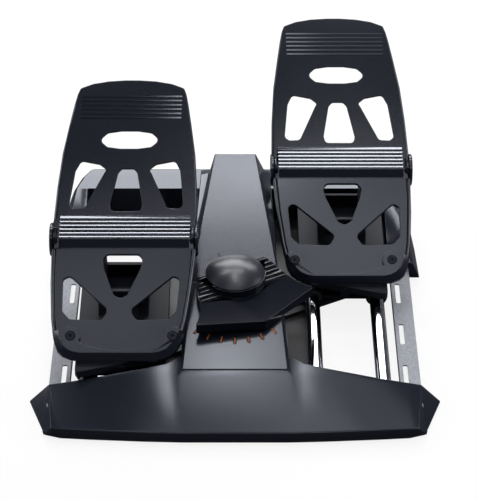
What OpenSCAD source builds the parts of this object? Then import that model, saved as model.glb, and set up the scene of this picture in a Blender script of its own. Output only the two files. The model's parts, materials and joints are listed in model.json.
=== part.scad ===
// Flight simulator rudder pedals: two pedals on sliding carriages, joined by a rocker on a central spine.
// The origin is on the floor under the rocker's axis. +X is right, +Y is away from the user, +Z is up.
// The rest pose has the left carriage fully forward and the right carriage fully back.

/* [Rest pose] */
// Distance of each carriage from its middle position at rest, which is the end of its travel
travel_half = 57; // [30:1:57]
// Turn of the rocker at rest
rotor_turn = 27; // [10:1:27]

/* [Front cover] */
// Distance from the rocker's axis to the front edge
front_reach = 160; // [150:1:170]
// Distance from the rocker's axis to the apron's rear edge at its ends
apron_rear = 102.6; // [100:0.1:106]
// How far the apron's rear edge runs back where it meets the nose
apron_fillet = 19; // [10:0.5:22]
// Half width across the two floor-level tips
tip_x = 192.7; // [188:0.1:198]
// Distance from the axis to the tips along Y
tip_y = 104; // [100:1:108]
// Half width of the front lip at its top edge
lip_top_x = 168; // [164:1:171]
// Half width of the front lip at its bottom edge
lip_bottom_x = 175; // [172:1:180]
// How far the ends of the lip are swept back
lip_sweep = 7; // [3:0.5:10]
// Height of the front lip
lip_z = 13; // [11:0.5:15]
// Half width of the apron's top at its rear corners
corner_x = 173.5; // [172:0.5:176]
// Height of the apron's rear corners
corner_z = 21.3; // [20:0.1:23]
// Height of the apron's rear edge where it meets the nose
shoulder_z = 36.5; // [34:0.5:38]
// Gap between the floor and the covers
floor_gap = 1.6; // [1:0.1:2]
// Wall of the plastic covers
cover_wall = 2.6; // [2:0.1:3]

/* [Spine] */
// Height of the spine's top at the rocker's axis
spine_z = 61; // [59:0.5:61]
// Rise of the spine's top for each millimetre towards the rear
spine_rise = 0.25; // [0.23:0.01:0.25]
// Half width of the spine's top at the axis
spine_half_w = 44; // [40:0.5:44]
// Half width lost for each millimetre towards the rear
spine_taper = 0.14; // [0.13:0.005:0.15]
// Half width gained for each millimetre towards the front
nose_flare = 0.08; // [0.06:0.005:0.08]
// Distance from the axis to the rear end of the top face
spine_rear = 157; // [150:1:160]
// Height of the rear shoulders beside the top face
rear_shoulder_z = 77; // [74:0.5:77]
// Clearance hole for the rocker's hub
hub_hole_r = 15; // [14:0.5:16]

/* [Rear housing] */
// Distance from the axis to the housing's front face
housing_front = 175; // [173:1:178]
// Distance from the axis to the housing's rear face
housing_rear = 211; // [208:1:215]
// Height of the housing's top
housing_z = 44; // [42:0.5:46]
// Distance from the axis to the front ends of the side arms
arm_front = 80; // [75:1:90]
// Half width between the inner faces of the side arms
arm_inner_x = 152.5; // [152:0.5:154]
// Half width over the front ends of the side arms
arm_tip_x = 186; // [184:0.5:190]
// Half width over the rear corners at the floor
housing_rear_x = 165; // [162:0.5:168]
// How far the sides lean in between the floor and the top
housing_lean = 14; // [8:0.5:17]
// Height of the side arms at their front ends
arm_tip_z = 21; // [20:0.5:26]

/* [Rails] */
// Distance from the centre plane to the inner rails
rail_inner_x = 76; // [75.5:0.1:76.5]
// Distance from the centre plane to the outer rails
rail_outer_x = 139; // [138.5:0.1:139.5]
// Height of the rails' axes
rail_z = 17.2; // [17:0.1:17.5]
// Radius of the rails
rail_r = 7; // [6.5:0.1:7]
// Wall of the rails
rail_wall = 1.5; // [1:0.1:2.5]

/* [Side plates] */
// Distance from the centre plane to the folded inner edge
plate_inner_x = 155; // [154.5:0.1:156]
// Distance from the centre plane to the outer edge
plate_outer_x = 174; // [172:0.1:174]
// Height of the plate's top
plate_z = 14; // [13:0.1:14]
// Thickness of the steel
plate_t = 1.5; // [1:0.1:2]
// Length of each slot
slot_len = 30; // [20:1:32]
// Width of each slot
slot_w = 4.6; // [3:0.1:5]

/* [Rocker] */
// Height of the flat top under the dome
rotor_z = 72.5; // [72.5:0.1:73]
// Radius of the dome
dome_r = 28; // [25:0.5:28.5]
// Height of the dome above the flat top
dome_rise = 9; // [6:0.5:11]
// Fall of the roof for each millimetre towards the front, beside the grips
roof_fall = 0.27; // [0.26:0.01:0.28]
// Fall of the roof for each millimetre towards the front, over the skirt
skirt_fall = 0.145; // [0.13:0.005:0.16]
// Distance from the axis to the skirt's front corner
skirt_front = 63.6; // [60:0.1:64]
// Half width of the skirt
skirt_half_w = 63.5; // [60:0.5:63.5]
// Lean back of the skirt's two facets
skirt_angle = 18.8; // [15:0.1:21]
// Height of the skirt's lower edge at its front corner
skirt_z = 48.5; // [48.5:0.1:50]
// Number of ridges on each grip
ridge_count = 6; // [4:1:6]
// Distance between ridges
ridge_pitch = 4.8; // [4:0.1:5]
// Radius of the steel post
post_r = 6; // [5:0.1:6.5]
// Distance from the axis to the drive pins
drive_r = 125.6; // [125:0.1:126]
// Radius of the drive pins
drive_pin_r = 4; // [3:0.1:4]
// Half width of the steel rocker arm
rocker_half_w = 11; // [9:0.5:11]

/* [Carriages] */
// Distance of the front edge from the drive pin, in the middle of the width
carriage_front = 36.5; // [36:0.5:38]
// Distance of the rear end from the drive pin
carriage_rear = 102; // [98:0.5:104]
// Sweep of the front edge for each millimetre of width
carriage_sweep = 0.25; // [0.15:0.01:0.25]
// Height of the deck's top
deck_z = 37.5; // [37:0.1:37.5]
// Thickness of the deck
deck_t = 3; // [2.5:0.1:3.5]
// Play between the drive pin and its slot
drive_play = 1.2; // [1.1:0.1:1.5]
// Radius of the round knob at the front
knob_r = 5; // [4:0.1:5]

/* [Pedals] */
// Distance from the centre plane to the middle of the pedal's elbow
pedal_x = 105.8; // [105.5:0.1:106]
// Height of the elbow line
elbow_z = 97; // [97:0.1:98]
// Distance of the elbow line behind the drive pin
elbow_y = 62; // [61.5:0.1:63]
// Slope of the lower plate
lower_slope = 29; // [28.5:0.1:29.5]
// Slope of the upper plate
upper_slope = 42.5; // [42:0.1:43]
// Length of the upper plate
upper_len = 165; // [150:1:170]
// Length of the lower plate
lower_len = 112; // [110:1:112]
// Half width at the elbow
pedal_half_w = 68.5; // [67:0.1:68.5]
// Lean of the pedal's centre line towards the centre plane, for each millimetre upwards
pedal_skew = 0.044; // [0.03:0.002:0.05]
// Thickness of the plates
pedal_t = 4; // [3:0.1:4]
// Thickness of the side walls
side_wall = 3; // [2.4:0.1:3.4]
// Depth of the rim round the lower plate
rim_depth = 8; // [6:0.1:8]
// Depth of the upper plate's side walls next to the elbow
wall_depth = 25; // [20:0.5:26]
// Distance of the pivot behind the elbow line
pivot_back = 16; // [15.5:0.1:16.5]
// Distance of the pivot below the elbow line
pivot_drop = 1; // [0.8:0.1:1.4]
// Radius of the pivot pins
pivot_r = 4; // [3.5:0.1:4]
// Radius of the round pivot caps
pivot_cap_r = 16; // [13:0.5:16]
// Distance of the heel screws from the pedal's middle
heel_screw_x = 47.5; // [46:0.5:48]
// Distance of the heel screws below the elbow line
heel_screw_s = 89; // [87:0.5:90]
// Height of the heel stop above the plate
heel_stop_t = 3.4; // [2.5:0.1:4]

/* [Small parts] */
// Radius of the rubber feet
foot_r = 11; // [8:0.5:12]
// Radius of the heel screw heads
heel_head_r = 4.2; // [3.5:0.1:4.4]
// Radius of the torsion springs, at the middle of the wire
spring_r = 5.6; // [5.5:0.1:5.8]
// Radius of the springs' wire
spring_wire_r = 0.9; // [0.7:0.1:1]
// Curls in each torsion spring
spring_curls = 7; // [4:1:8]

/* [Hidden] */
$fn = 64;

eps = 0.01;
far = 600;
fit = 0.05;
face_gap = 0.2;
charcoal = "#2b2d35";
black = "#1b1c22";
graphite = "#4a4d57";

// Heights of the low layers, from the floor up
bottom_plate_t = 1.4;
bottom_plate_z = 2.4;
plate_top_z = bottom_plate_z + bottom_plate_t;
rocker_z = plate_top_z + 0.6;
rocker_t = 3.6;
rocker_top_z = rocker_z + rocker_t;
bushing_wall = 1.4;
bushing_r = rail_r + fit + bushing_wall;
sleeve_r = bushing_r + 2;
sleeve_flat_z = rocker_top_z + 1.3;

// A solid between a row of sections, each a ring of [x, y, z] points in the same order
module loft(rings) {
    n = len(rings[0]);
    last = len(rings) - 1;
    points = [for (ring = rings) for (p = ring) p];
    sides = [for (i = [0 : last - 1]) for (j = [0 : n - 1])
        let (a = i * n + j, b = i * n + (j + 1) % n, c = a + n, d = b + n)
        each [[a, b, c], [b, d, c]]];
    first_cap = [for (j = [1 : n - 2]) [0, j + 1, j]];
    last_cap = [for (j = [1 : n - 2]) [last * n, last * n + j, last * n + j + 1]];
    polyhedron(points = points, faces = concat(sides, first_cap, last_cap), convexity = 8);
}

// Points of a polygon whose corners are rounded with radius r, n points to a corner
function rounded(pts, r, n = 4) = [for (i = [0 : len(pts) - 1])
    let (p = pts[i],
        a = pts[(i + len(pts) - 1) % len(pts)] - p,
        b = pts[(i + 1) % len(pts)] - p,
        ua = a / norm(a),
        ub = b / norm(b),
        half = acos(max(-1, min(1, ua * ub))) / 2,
        reach = min(r / tan(half), min(norm(a), norm(b)) * 0.48),
        rr = reach * tan(half),
        bis = (ua + ub) / norm(ua + ub),
        c = p + bis * rr / sin(half),
        s0 = p + ua * reach - c,
        s1 = p + ub * reach - c,
        a0 = atan2(s0[1], s0[0]),
        turn = ((atan2(s1[1], s1[0]) - a0 + 540) % 360) - 180)
    for (k = [0 : n]) c + rr * [cos(a0 + turn * k / n), sin(a0 + turn * k / n)]];

// Mirror helpers: the right side is drawn, and the left side is its mirror image
module on_side(side) {
    if (side > 0) children();
    else mirror([1, 0, 0]) children();
}

// Places a carriage-borne part at rest: right carriage back, left carriage forward
module at_rest(side) {
    translate([0, side * travel_half, 0]) on_side(side) children();
}

module rotor_rest() {
    rotate([0, 0, rotor_turn]) children();
}

// Front cover

// Shape of the apron's rear edge, as shares of its fillet and height against the distance from the middle
apron_edge = [[0, 1.0, 1.2], [48, 1.0, 1.2], [54, 1.0, 1.1], [64, 0.63, 1.03], [82, 0.36, 1.0], [107, 0.18, 0.79],
    [133, 0.085, 0.47], [corner_x, 0, 0]];
function edge_y(x) = -apron_rear + apron_fillet * lookup(abs(x), [for (e = apron_edge) [e[0], e[1]]]);
function edge_z(x) = corner_z + (shoulder_z - corner_z) * lookup(abs(x), [for (e = apron_edge) [e[0], e[2]]]);
function lip_y(x) = -front_reach + lip_sweep * pow(abs(x) / lip_top_x, 2);
knee_y = -apron_rear - 2.5;
function knee_z(x) = edge_z(x) - spine_rise * (edge_y(x) - knee_y);

// One section across the apron at x
function apron_section(x) = [
    [x, lip_y(x) - 1, floor_gap],
    [x, lip_y(x) - 1, 3],
    [x, lip_y(x), lip_z - 1],
    [x, lip_y(x) + 2, lip_z],
    [x, knee_y, knee_z(x)],
    [x, edge_y(x), edge_z(x)],
    [x, edge_y(x), floor_gap]];

// The end of the apron leans out to the floor-level tip
function apron_end(side) = [
    [side * lip_bottom_x, -front_reach + lip_sweep + 3, floor_gap],
    [side * lip_bottom_x, -front_reach + lip_sweep + 3, 3],
    [side * (lip_top_x + 1), -front_reach + lip_sweep, lip_z - 1],
    [side * lip_top_x, -front_reach + lip_sweep + 2, lip_z],
    [side * (corner_x - 0.3), knee_y, corner_z - 0.5],
    [side * corner_x, -apron_rear, corner_z],
    [side * tip_x, -tip_y, floor_gap]];

apron_stations = [-160, -133, -107, -82, -64, -54, -48, 48, 54, 64, 82, 107, 133, 160];
module apron_block() {
    loft(concat([apron_end(-1)], [for (x = apron_stations) apron_section(x)], [apron_end(1)]));
}

// Hollow of the apron: straight runs, each as deep as its outer end allows
module apron_hollow() {
    w = cover_wall;
    for (x = [48, 64, 82, 107, 133, 162])
        rotate([90, 0, 90]) translate([0, 0, -x]) linear_extrude(height = 2 * x)
            polygon([[lip_y(x) - 1 + w, -1], [lip_y(x) - 1 + w, 3], [lip_y(x) + w, lip_z - 1 - w],
                [lip_y(x) + 2 + w, lip_z - w], [knee_y, knee_z(x) - w], [edge_y(x) - w, edge_z(x) - w],
                [edge_y(x) - w, -1]]);
}

function spine_top(y) = spine_z + spine_rise * y;
function spine_half(y) = spine_half_w - (y > 0 ? spine_taper : nose_flare) * y;

// One section across the nose at y
function nose_section(y) = let (hw = spine_half(y), z = spine_top(y)) [
    [-hw - 4, y, floor_gap],
    [-hw, y, z - 3],
    [-hw + 3, y, z],
    [hw - 3, y, z],
    [hw, y, z - 3],
    [hw + 4, y, floor_gap]];

nose_front = -apron_rear + 4;
module nose_block() {
    loft([for (y = [0, nose_front]) nose_section(y)]);
}

// A sloping layer under the line of the spine's top, from `low` to `high` above it
module spine_layer(low, high) {
    rotate([90, 0, 90]) translate([0, 0, -far / 2]) linear_extrude(height = far)
        polygon([[-far / 3, spine_top(-far / 3) + low], [far / 3, spine_top(far / 3) + low],
            [far / 3, spine_top(far / 3) + high], [-far / 3, spine_top(-far / 3) + high]]);
}

// Everything between two distances from the axis, under the spine's top less w, and inside its sides less w
module spine_hollow(from, to, w) {
    intersection() {
        rotate([90, 0, 90]) translate([0, 0, -far / 2]) linear_extrude(height = far)
            polygon([[from, -1], [to, -1], [to, spine_top(to) - w], [from, spine_top(from) - w]]);
        linear_extrude(height = far / 2) polygon([[-spine_half(from) + w, from], [spine_half(from) - w, from],
            [spine_half(to) - w, to], [-spine_half(to) + w, to]]);
    }
}

// Room under the covers for the rocker arm's swing
module rocker_room() {
    room_x = 2 * (spine_half_w + 16);
    room_y = 92;
    translate([-room_x / 2, -room_y / 2, -1]) cube([room_x, room_y, rocker_top_z + 2]);
}

module rail_holes() {
    for (x = [-rail_outer_x, -rail_inner_x, rail_inner_x, rail_outer_x])
        translate([x, rail_front - 1, rail_z]) rotate([-90, 0, 0])
            cylinder(r = rail_r + fit, h = rail_rear - rail_front + 2);
}

// Room at the floor for the middle of the bottom plate, on which the covers stand
module web_room() {
    reach = web_half + face_gap;
    from = -apron_rear - 5;
    translate([-reach, from, -1]) cube([2 * reach, housing_front + 5 - from, plate_top_z + 1 + face_gap]);
}

module plate_room() {
    g = 0.02;
    for (side = [-1, 1]) on_side(side) {
        translate([plate_inner_x - g, plate_front - g, -1])
            cube([plate_outer_x - plate_inner_x + 2 * g, plate_step_y - plate_front + 2 * g, plate_z + 1 + g]);
        translate([plate_inner_x - g, plate_front - g, -1])
            cube([plate_step_x - plate_inner_x + 2 * g, plate_rear - plate_front + 2 * g, plate_z + 1 + g]);
    }
}

module screw_bosses(from, to) {
    boss_r = 4;
    for (p = screw_places) if (p[1] > from && p[1] < to && p[2] > 0)
        translate([p[0], p[1], plate_top_z]) cylinder(r = boss_r, h = p[2] - plate_top_z);
}

module screw_holes() {
    for (p = screw_places) translate([p[0], p[1], 0]) cylinder(r = screw_r, h = 12);
}

module front_cover() {
    color(charcoal) difference() {
        union() {
            difference() {
                union() {
                    apron_block();
                    nose_block();
                }
                apron_hollow();
                spine_hollow(nose_front + cover_wall, 1, cover_wall);
                web_room();
            }
            screw_bosses(-far, -1);
        }
        screw_holes();
        rail_holes();
        plate_room();
        rocker_room();
        cylinder(r = hub_hole_r, h = far / 2);
        scale_marks_raw(1);
    }
}

// Spine cover

function shoulder_share(y) = max(0, min(1, (y - 30) / (spine_rear - 30)));
// One section across the spine cover: top face, bevel, shoulder and side wall
function spine_section(y) = let (hw = spine_half(y), z = spine_top(y), k = shoulder_share(y),
        zs = min(z - 2, rear_shoulder_z), inner = hw + 0.2 + 4.4 * k, outer = hw + 0.6 + 12.6 * k) [
    [-outer - 4, y, floor_gap],
    [-outer, y, zs - 2],
    [-inner, y, zs],
    [-hw + 1.5, y, z],
    [hw - 1.5, y, z],
    [inner, y, zs],
    [outer, y, zs - 2],
    [outer + 4, y, floor_gap]];

// The rear end falls to the housing's top
spine_foot_y = housing_rear - 8;
function spine_end() = let (y = spine_foot_y, z = housing_z + 4) [
    [-38, y, floor_gap], [-36, y, z - 1], [-30, y, z - 0.5], [-22, y, z],
    [22, y, z], [30, y, z - 0.5], [36, y, z - 1], [38, y, floor_gap]];

spine_start = 0.1;
module spine_block() {
    loft(concat([spine_end()], [for (y = [spine_rear, 72, 30, spine_start]) spine_section(y)]));
}

// Lower and wider part of the spine's hollow, under the shoulders
module shoulder_hollow(tail, w) {
    z0 = spine_top(0) - 4 - w;
    z1 = rear_shoulder_z - 2 - w;
    function wide(y) = spine_half(y) + 0.6 + 12.6 * shoulder_share(y) - w;
    intersection() {
        rotate([90, 0, 90]) translate([0, 0, -far / 2]) linear_extrude(height = far)
            polygon([[-1, -1], [tail, -1], [tail, housing_z], [spine_rear - w, z1], [72, z1], [-1, z0]]);
        linear_extrude(height = far / 2) polygon([[-wide(0), -1], [wide(0), -1], [wide(30), 30],
            [wide(spine_rear) - 0.5, spine_rear], [36 - w, tail], [w - 36, tail], [-wide(spine_rear) + 0.5, spine_rear],
            [-wide(30), 30]]);
    }
}

module spine_cover() {
    w = cover_wall;
    tail = spine_foot_y - w;
    color(graphite) difference() {
        union() {
            difference() {
                spine_block();
                spine_hollow(-1, spine_rear - w, w + 0.6);
                shoulder_hollow(tail, w);
                web_room();
            }
            screw_bosses(1, housing_front);
        }
        screw_holes();
        rocker_room();
        cylinder(r = hub_hole_r, h = far / 2);
        translate([-far / 2, housing_front - face_gap, -1]) cube([far, far, housing_z + 1]);
        translate([-far / 2, housing_front - 3, -1]) cube([far, far, plate_top_z + 1 + face_gap]);
    }
}

// Low collar round the back of the dome, with one notch
module rotor_ring() {
    ring_in = 30.6;
    ring_out = 37.5;
    ring_h = 1.4;
    from = 5;
    to = 175;
    notch_at = 118;
    color(charcoal) intersection() {
        difference() {
            rotate([0, 0, from]) rotate_extrude(angle = to - from)
                polygon([[ring_in, 50], [ring_out, 50], [ring_out, 90], [ring_in, 90]]);
            rotate([0, 0, notch_at]) translate([ring_in - 1, -0.8, 40]) cube([12, 1.6, 60]);
        }
        spine_layer(0, ring_h);
    }
}

// Printed scale in front of the skirt: seven short strokes on an arc
module scale_marks_raw(up) {
    mark_r = 67;
    mark_len = 7;
    mark_w = 1.6;
    mark_step = 11;
    sunk = 0.4;
    intersection() {
        for (i = [-3 : 3])
            rotate([0, 0, i * mark_step]) translate([-mark_w / 2, -mark_r - mark_len / 2, 20])
                cube([mark_w, mark_len, 50]);
        spine_layer(-sunk, up);
    }
}

module scale_marks() {
    color("#e07020") scale_marks_raw(0);
}

// Rear housing

// Half widths and top heights of the housing from the arms' front ends to the rear face
housing_stations = [[arm_front, 1.0, 0], [arm_front + 45, 0.92, 0.5], [housing_front, 0.75, 1],
    [housing_rear - 14, 0.42, 1], [housing_rear - 3, 0.12, 1], [housing_rear, 0, 0.94]];
function housing_x(e) = housing_rear_x + (arm_tip_x - housing_rear_x) * e[1];
function housing_top(e) = arm_tip_z + (housing_z - arm_tip_z) * e[2];
function housing_lean_at(e) = housing_lean * housing_top(e) / housing_z;
function housing_section(e) = let (xb = housing_x(e), zt = housing_top(e), lean = housing_lean_at(e), y = e[0]) [
    [-xb, y, floor_gap],
    [-xb + lean, y, zt - 3],
    [-xb + lean + 3, y, zt],
    [xb - lean - 3, y, zt],
    [xb - lean, y, zt - 3],
    [xb, y, floor_gap]];
function housing_in(i) = let (e = housing_stations[i]) housing_x(e) - housing_lean_at(e) - cover_wall - 0.5;

module housing_hollow() {
    w = cover_wall;
    s = housing_stations;
    inner_wall_x = arm_inner_x + w;
    // Main bar
    translate([0, 0, -1]) linear_extrude(height = housing_z - w + 1)
        polygon([[-housing_in(2), housing_front + w], [housing_in(2), housing_front + w], [housing_in(3), s[3][0]],
            [housing_in(5) - 1, housing_rear - w], [-housing_in(5) + 1, housing_rear - w], [-housing_in(3), s[3][0]]]);
    // Side arms
    for (side = [-1, 1]) on_side(side) intersection() {
        linear_extrude(height = far, center = true)
            polygon([[inner_wall_x, arm_front + w], [housing_in(0), arm_front + w], [housing_in(1), s[1][0]],
                [housing_in(2), s[2][0] + 2 * w], [inner_wall_x, s[2][0] + 2 * w]]);
        rotate([90, 0, 90]) linear_extrude(height = far)
            polygon([[arm_front, -1], [s[2][0] + 9, -1], [s[2][0] + 9, housing_z - w], [s[2][0], housing_z - w],
                [s[1][0], housing_top(s[1]) - w], [arm_front, arm_tip_z - w]]);
    }
}

module rear_housing() {
    color(charcoal) difference() {
        union() {
            difference() {
                loft([for (i = [len(housing_stations) - 1 : -1 : 0]) housing_section(housing_stations[i])]);
                housing_hollow();
                translate([-arm_inner_x, arm_front - 1, -2])
                    cube([2 * arm_inner_x, housing_front - arm_front + 1, far]);
            }
            screw_bosses(housing_front + 5, far);
        }
        screw_holes();
        rail_holes();
        plate_room();
        translate([0, housing_rear - 1, 0]) socket_window(fit);
        spine_pass();
        web_room();
    }
}

// Opening in the housing's front wall for the bottom plate and the cable
module spine_pass() {
    pass_half = 36;
    translate([-pass_half, housing_front - 1, -2]) cube([2 * pass_half, 8, 30]);
}

socket_w = 15;
socket_h = 13;
socket_z = 10;
socket_depth = 16;
module socket_window(grow) {
    translate([-socket_w / 2 - grow, -10, socket_z - grow]) cube([socket_w + 2 * grow, 20, socket_h + 2 * grow]);
}

module cable_socket() {
    key_w = 6;
    color("#111114") translate([0, housing_rear - socket_depth - 0.4, 0]) difference() {
        translate([-socket_w / 2, 0, socket_z]) cube([socket_w, socket_depth, socket_h]);
        translate([-socket_w / 2 + 1.6, 4, socket_z + 2.4]) cube([socket_w - 3.2, socket_depth, socket_h - 4.4]);
        translate([-key_w / 2, 4, socket_z + 0.8]) cube([key_w, socket_depth, socket_h / 2]);
    }
}

// Rails, brackets and plates

rail_front = -apron_rear - 6;
rail_rear = housing_front + 22;
module rail(x) {
    color("#d4d7dc") translate([x, rail_front, rail_z]) rotate([-90, 0, 0]) difference() {
        cylinder(r = rail_r, h = rail_rear - rail_front);
        translate([0, 0, -1]) cylinder(r = rail_r - rail_wall, h = rail_rear - rail_front + 2);
    }
}

bracket_inset = 6;
bracket_half = plate_inner_x - bracket_inset;
rear_bracket_over = 3;
rear_bracket_half = plate_inner_x + rear_bracket_over;
module front_bracket() {
    color("#8c9098") difference() {
        translate([-bracket_half, rail_front - 2, plate_top_z]) cube([2 * bracket_half, 5, rail_z - plate_top_z]);
        rail_holes();
    }
}

module rear_bracket() {
    color("#8c9098") difference() {
        translate([-rear_bracket_half, rail_rear - 9, plate_top_z])
            cube([2 * rear_bracket_half, 5, rail_z + 10 - plate_top_z]);
        rail_holes();
        translate([-20, rail_rear - 10, plate_top_z + 5]) cube([40, 8, 9]);
    }
}

plate_front = -apron_rear - 22;
plate_rear = rail_rear - 9;
// The rear end of the plate is narrower, inside the housing
plate_step_y = housing_front - 20;
plate_step_x = plate_outer_x - 8;
// Middles of the three slots along Y
slot_places = [-82, -22, 40];
module side_plate() {
    bend_r = 2;
    long = plate_rear - plate_front;
    color("#8f939c") translate([0, plate_front, 0]) difference() {
        union() {
            translate([plate_inner_x, 0, plate_z - plate_t]) cube([plate_outer_x - plate_inner_x, long, plate_t]);
            translate([plate_inner_x, 0, plate_top_z]) cube([plate_t, long, plate_z - plate_top_z]);
            translate([plate_outer_x - plate_t, 0, plate_z / 2]) cube([plate_t, long, plate_z / 2]);
        }
        for (y = slot_places)
            translate([plate_inner_x + plate_t + bend_r, y - plate_front - slot_len / 2, plate_z - 2 * plate_t])
                linear_extrude(height = 3 * plate_t)
                    polygon(rounded([[0, 0], [slot_w, 0], [slot_w, slot_len], [0, slot_len]], 1.5));
        translate([plate_step_x, plate_step_y - plate_front, -1]) cube([20, far, plate_z + 2]);
    }
}

// Bottom plate, feet and small base parts

web_half = 70;
module bottom_plate() {
    front = -front_reach + lip_sweep + 5;
    back = -apron_rear - 4.5;
    bar_x = 148;
    wide_x = 160;
    color("#33353c") difference() {
        translate([0, 0, bottom_plate_z]) linear_extrude(height = bottom_plate_t)
            polygon([[-wide_x, front], [wide_x, front], [wide_x, back - 6], [bar_x, back], [web_half, back],
                [web_half, housing_front + 5], [bar_x, housing_front + 5], [bar_x, housing_rear - 6],
                [-bar_x, housing_rear - 6], [-bar_x, housing_front + 5], [-web_half, housing_front + 5],
                [-web_half, back], [-bar_x, back], [-wide_x, back - 6]]);
        for (p = screw_places) translate([p[0], p[1], bottom_plate_z - 1]) cylinder(r = screw_r, h = 4);
        translate([0, 0, bottom_plate_z - 1]) cylinder(r = post_r - 2, h = 4);
    }
}

screw_r = 1.6;
// Places of the base screws, each with the height of the boss over it
corner_screw_y = -front_reach + 25;
middle_screw_y = -front_reach + 34;
rear_screw_y = housing_rear - 11;
screw_places = [[-120, corner_screw_y, 17.4], [120, corner_screw_y, 17.4], [0, middle_screw_y, 23.8],
    [-24, -60, 44.5], [24, -60, 44.5], [-24, 60, 74], [24, 60, 74], [-18, 140, 93.5], [18, 140, 93.5],
    [-120, rear_screw_y, 42], [120, rear_screw_y, 42]];
module base_screws() {
    color("#9a9da3") for (p = screw_places) translate([p[0], p[1], bottom_plate_z - 0.8]) {
        cylinder(r = 2.8, h = 0.8);
        cylinder(r = screw_r - 0.02, h = 9);
    }
}

// How far the feet stand in from the cover's front edge, the housing's rear and the two ends
middle_foot_in = 15;
corner_foot_in = 24;
rear_foot_in = 15;
front_foot_x = tip_x - 44.7;
rear_foot_x = housing_rear_x - 27;
front_foot_y = -front_reach + corner_foot_in;
rear_foot_y = housing_rear - rear_foot_in;
foot_places = [[0, 0], [0, -front_reach + middle_foot_in], [-front_foot_x, front_foot_y], [front_foot_x, front_foot_y],
    [-rear_foot_x, rear_foot_y], [rear_foot_x, rear_foot_y]];
module foot(i) {
    place = foot_places[i];
    color("#141414") translate([place[0], place[1], 0]) rotate_extrude()
        polygon([[0, 0], [foot_r - 1, 0], [foot_r, 0.6], [foot_r, bottom_plate_z], [0, bottom_plate_z]]);
}

module circuit_board() {
    board = [46, 62, 1.6];
    color("#1d5c34") translate([-board[0] / 2, 70, plate_top_z + 4]) difference() {
        cube(board);
        for (x = [5, board[0] - 5], y = [5, board[1] - 5]) translate([x, y, -1]) cylinder(r = 1.6, h = 4);
    }
    color("#222222") translate([-9, 90, plate_top_z + 4 + board[2]]) cube([18, 18, 2]);
    color("#222222") for (x = [-board[0] / 2 + 5, board[0] / 2 - 5], y = [75, 127])
        translate([x, y, plate_top_z]) cylinder(r = 3, h = 4);
    color("#c9a227") translate([-8, 124, plate_top_z + 4 + board[2]]) cube([16, 6, 5]);
}

post_top = rotor_z - 7;
module post() {
    color("#b4b7bd") translate([0, 0, plate_top_z]) difference() {
        union() {
            cylinder(r = post_r, h = post_top - plate_top_z);
            cylinder(r = post_r + 3, h = 0.5);
        }
        translate([0, 0, post_top - plate_top_z - 12]) cylinder(r = 2, h = 13);
    }
}

// Rocker

// Plan of the rocker's shell: the skirt's two facets, then its waist, whose widths are shares of the skirt's
waist = [[0.915, -37.5], [0.82, -30], [0.78, -25], [0.727, -16], [0.694, -8], [0.65, 0], [0.59, 8.2],
    [0.57, 10], [0.4, 10.5]];
function skirt_y(x) = -skirt_front + abs(x) * tan(skirt_angle);
function half_outline(w) = let (tip = skirt_half_w - 2.2 * w) concat(
    [[tip, skirt_y(tip) + 1.06 * w]],
    [for (p = waist) [p[0] * skirt_half_w - 1.25 * w, p[1]]]);
function rotor_outline(w) = let (h = half_outline(w)) concat(
    [[0, -skirt_front + 1.06 * w]], h, [for (i = [len(h) - 1 : -1 : 0]) [-h[i][0], h[i][1]]]);
function waist_x(y) = skirt_half_w * lookup(y, [for (p = waist) [p[1], p[0]]]);

roof_start = 9;
roof_knee = -12;
function roof_z(y) = rotor_z - max(0, roof_start - max(y, roof_knee)) * roof_fall - max(0, roof_knee - y) * skirt_fall;

// Everything under the sloping roof, lowered by w
module under_roof(w) {
    low = 30;
    rotate([90, 0, 90]) translate([0, 0, -far / 2]) linear_extrude(height = far)
        polygon([[-far / 3, low], [far / 3, low], [far / 3, rotor_z - w], [roof_start, rotor_z - w],
            [roof_knee, roof_z(roof_knee) - w], [-far / 3, roof_z(-far / 3) - w]]);
}

// Lower limit of the walls beside the waist: distance from the axis, and height over the skirt's front corner
wall_limit = [[-30, 3.5], [-15, 8.7], [-12.5, 13.7], [-9.5, 16.6], [-5, 17], [1, 18.3]];
// Lower limit of the shell's walls: they rise from the front corner, to swing clear of the spine
module under_skirt() {
    rise = 3.5;
    rise_x = 22;
    z = skirt_z + rise;
    rotate([90, 0, 0]) translate([0, 0, -far / 2]) linear_extrude(height = far)
        polygon([[-far / 3, 0], [far / 3, 0], [far / 3, z], [rise_x, z], [0, skirt_z], [-rise_x, z], [-far / 3, z]]);
    rotate([90, 0, 90]) translate([0, 0, -far / 2]) linear_extrude(height = far)
        polygon(concat([[1, 0], [wall_limit[0][0], 0]], [for (p = wall_limit) [p[0], skirt_z + p[1]]]));
}

module rotor_block() {
    intersection() {
        linear_extrude(height = far / 3) polygon(rounded(rotor_outline(0), 2));
        under_roof(0);
    }
    translate([0, 0, skirt_z]) cylinder(r = drum_r, h = rotor_z - skirt_z);
}

// The dome stands on a drum, level with the roof at the rear
drum_r = dome_r + 1.4;
roof_t = 2.5;
hub_top = rotor_z - roof_t;
module rotor_shell() {
    cap_seat = 1;
    color(black) rotor_rest() difference() {
        union() {
            difference() {
                rotor_block();
                under_skirt();
                rotor_hollow(roof_t);
                translate([0, 0, -1]) cylinder(r = drum_r - roof_t, h = hub_top + 1);
            }
            translate([0, 0, hub_top - 5]) difference() {
                cylinder(r = hub_r + 2, h = 5 + 1);
                translate([0, 0, -1]) cylinder(r = hub_r + fit, h = 5 + 1);
            }
            grip_ridges();
        }
        translate([0, 0, rotor_z - cap_seat]) cylinder(r = dome_r + fit, h = 20);
        translate([0, 0, 0]) cylinder(r = 2.2, h = far / 3);
    }
}

module rotor_hollow(t) {
    intersection() {
        union() {
            linear_extrude(height = far / 3) polygon(rounded(rotor_outline(t), 1.5));
            translate([-far / 2, 0, 0]) cube([far, far, far / 3]);
        }
        under_roof(t);
    }
}

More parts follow.
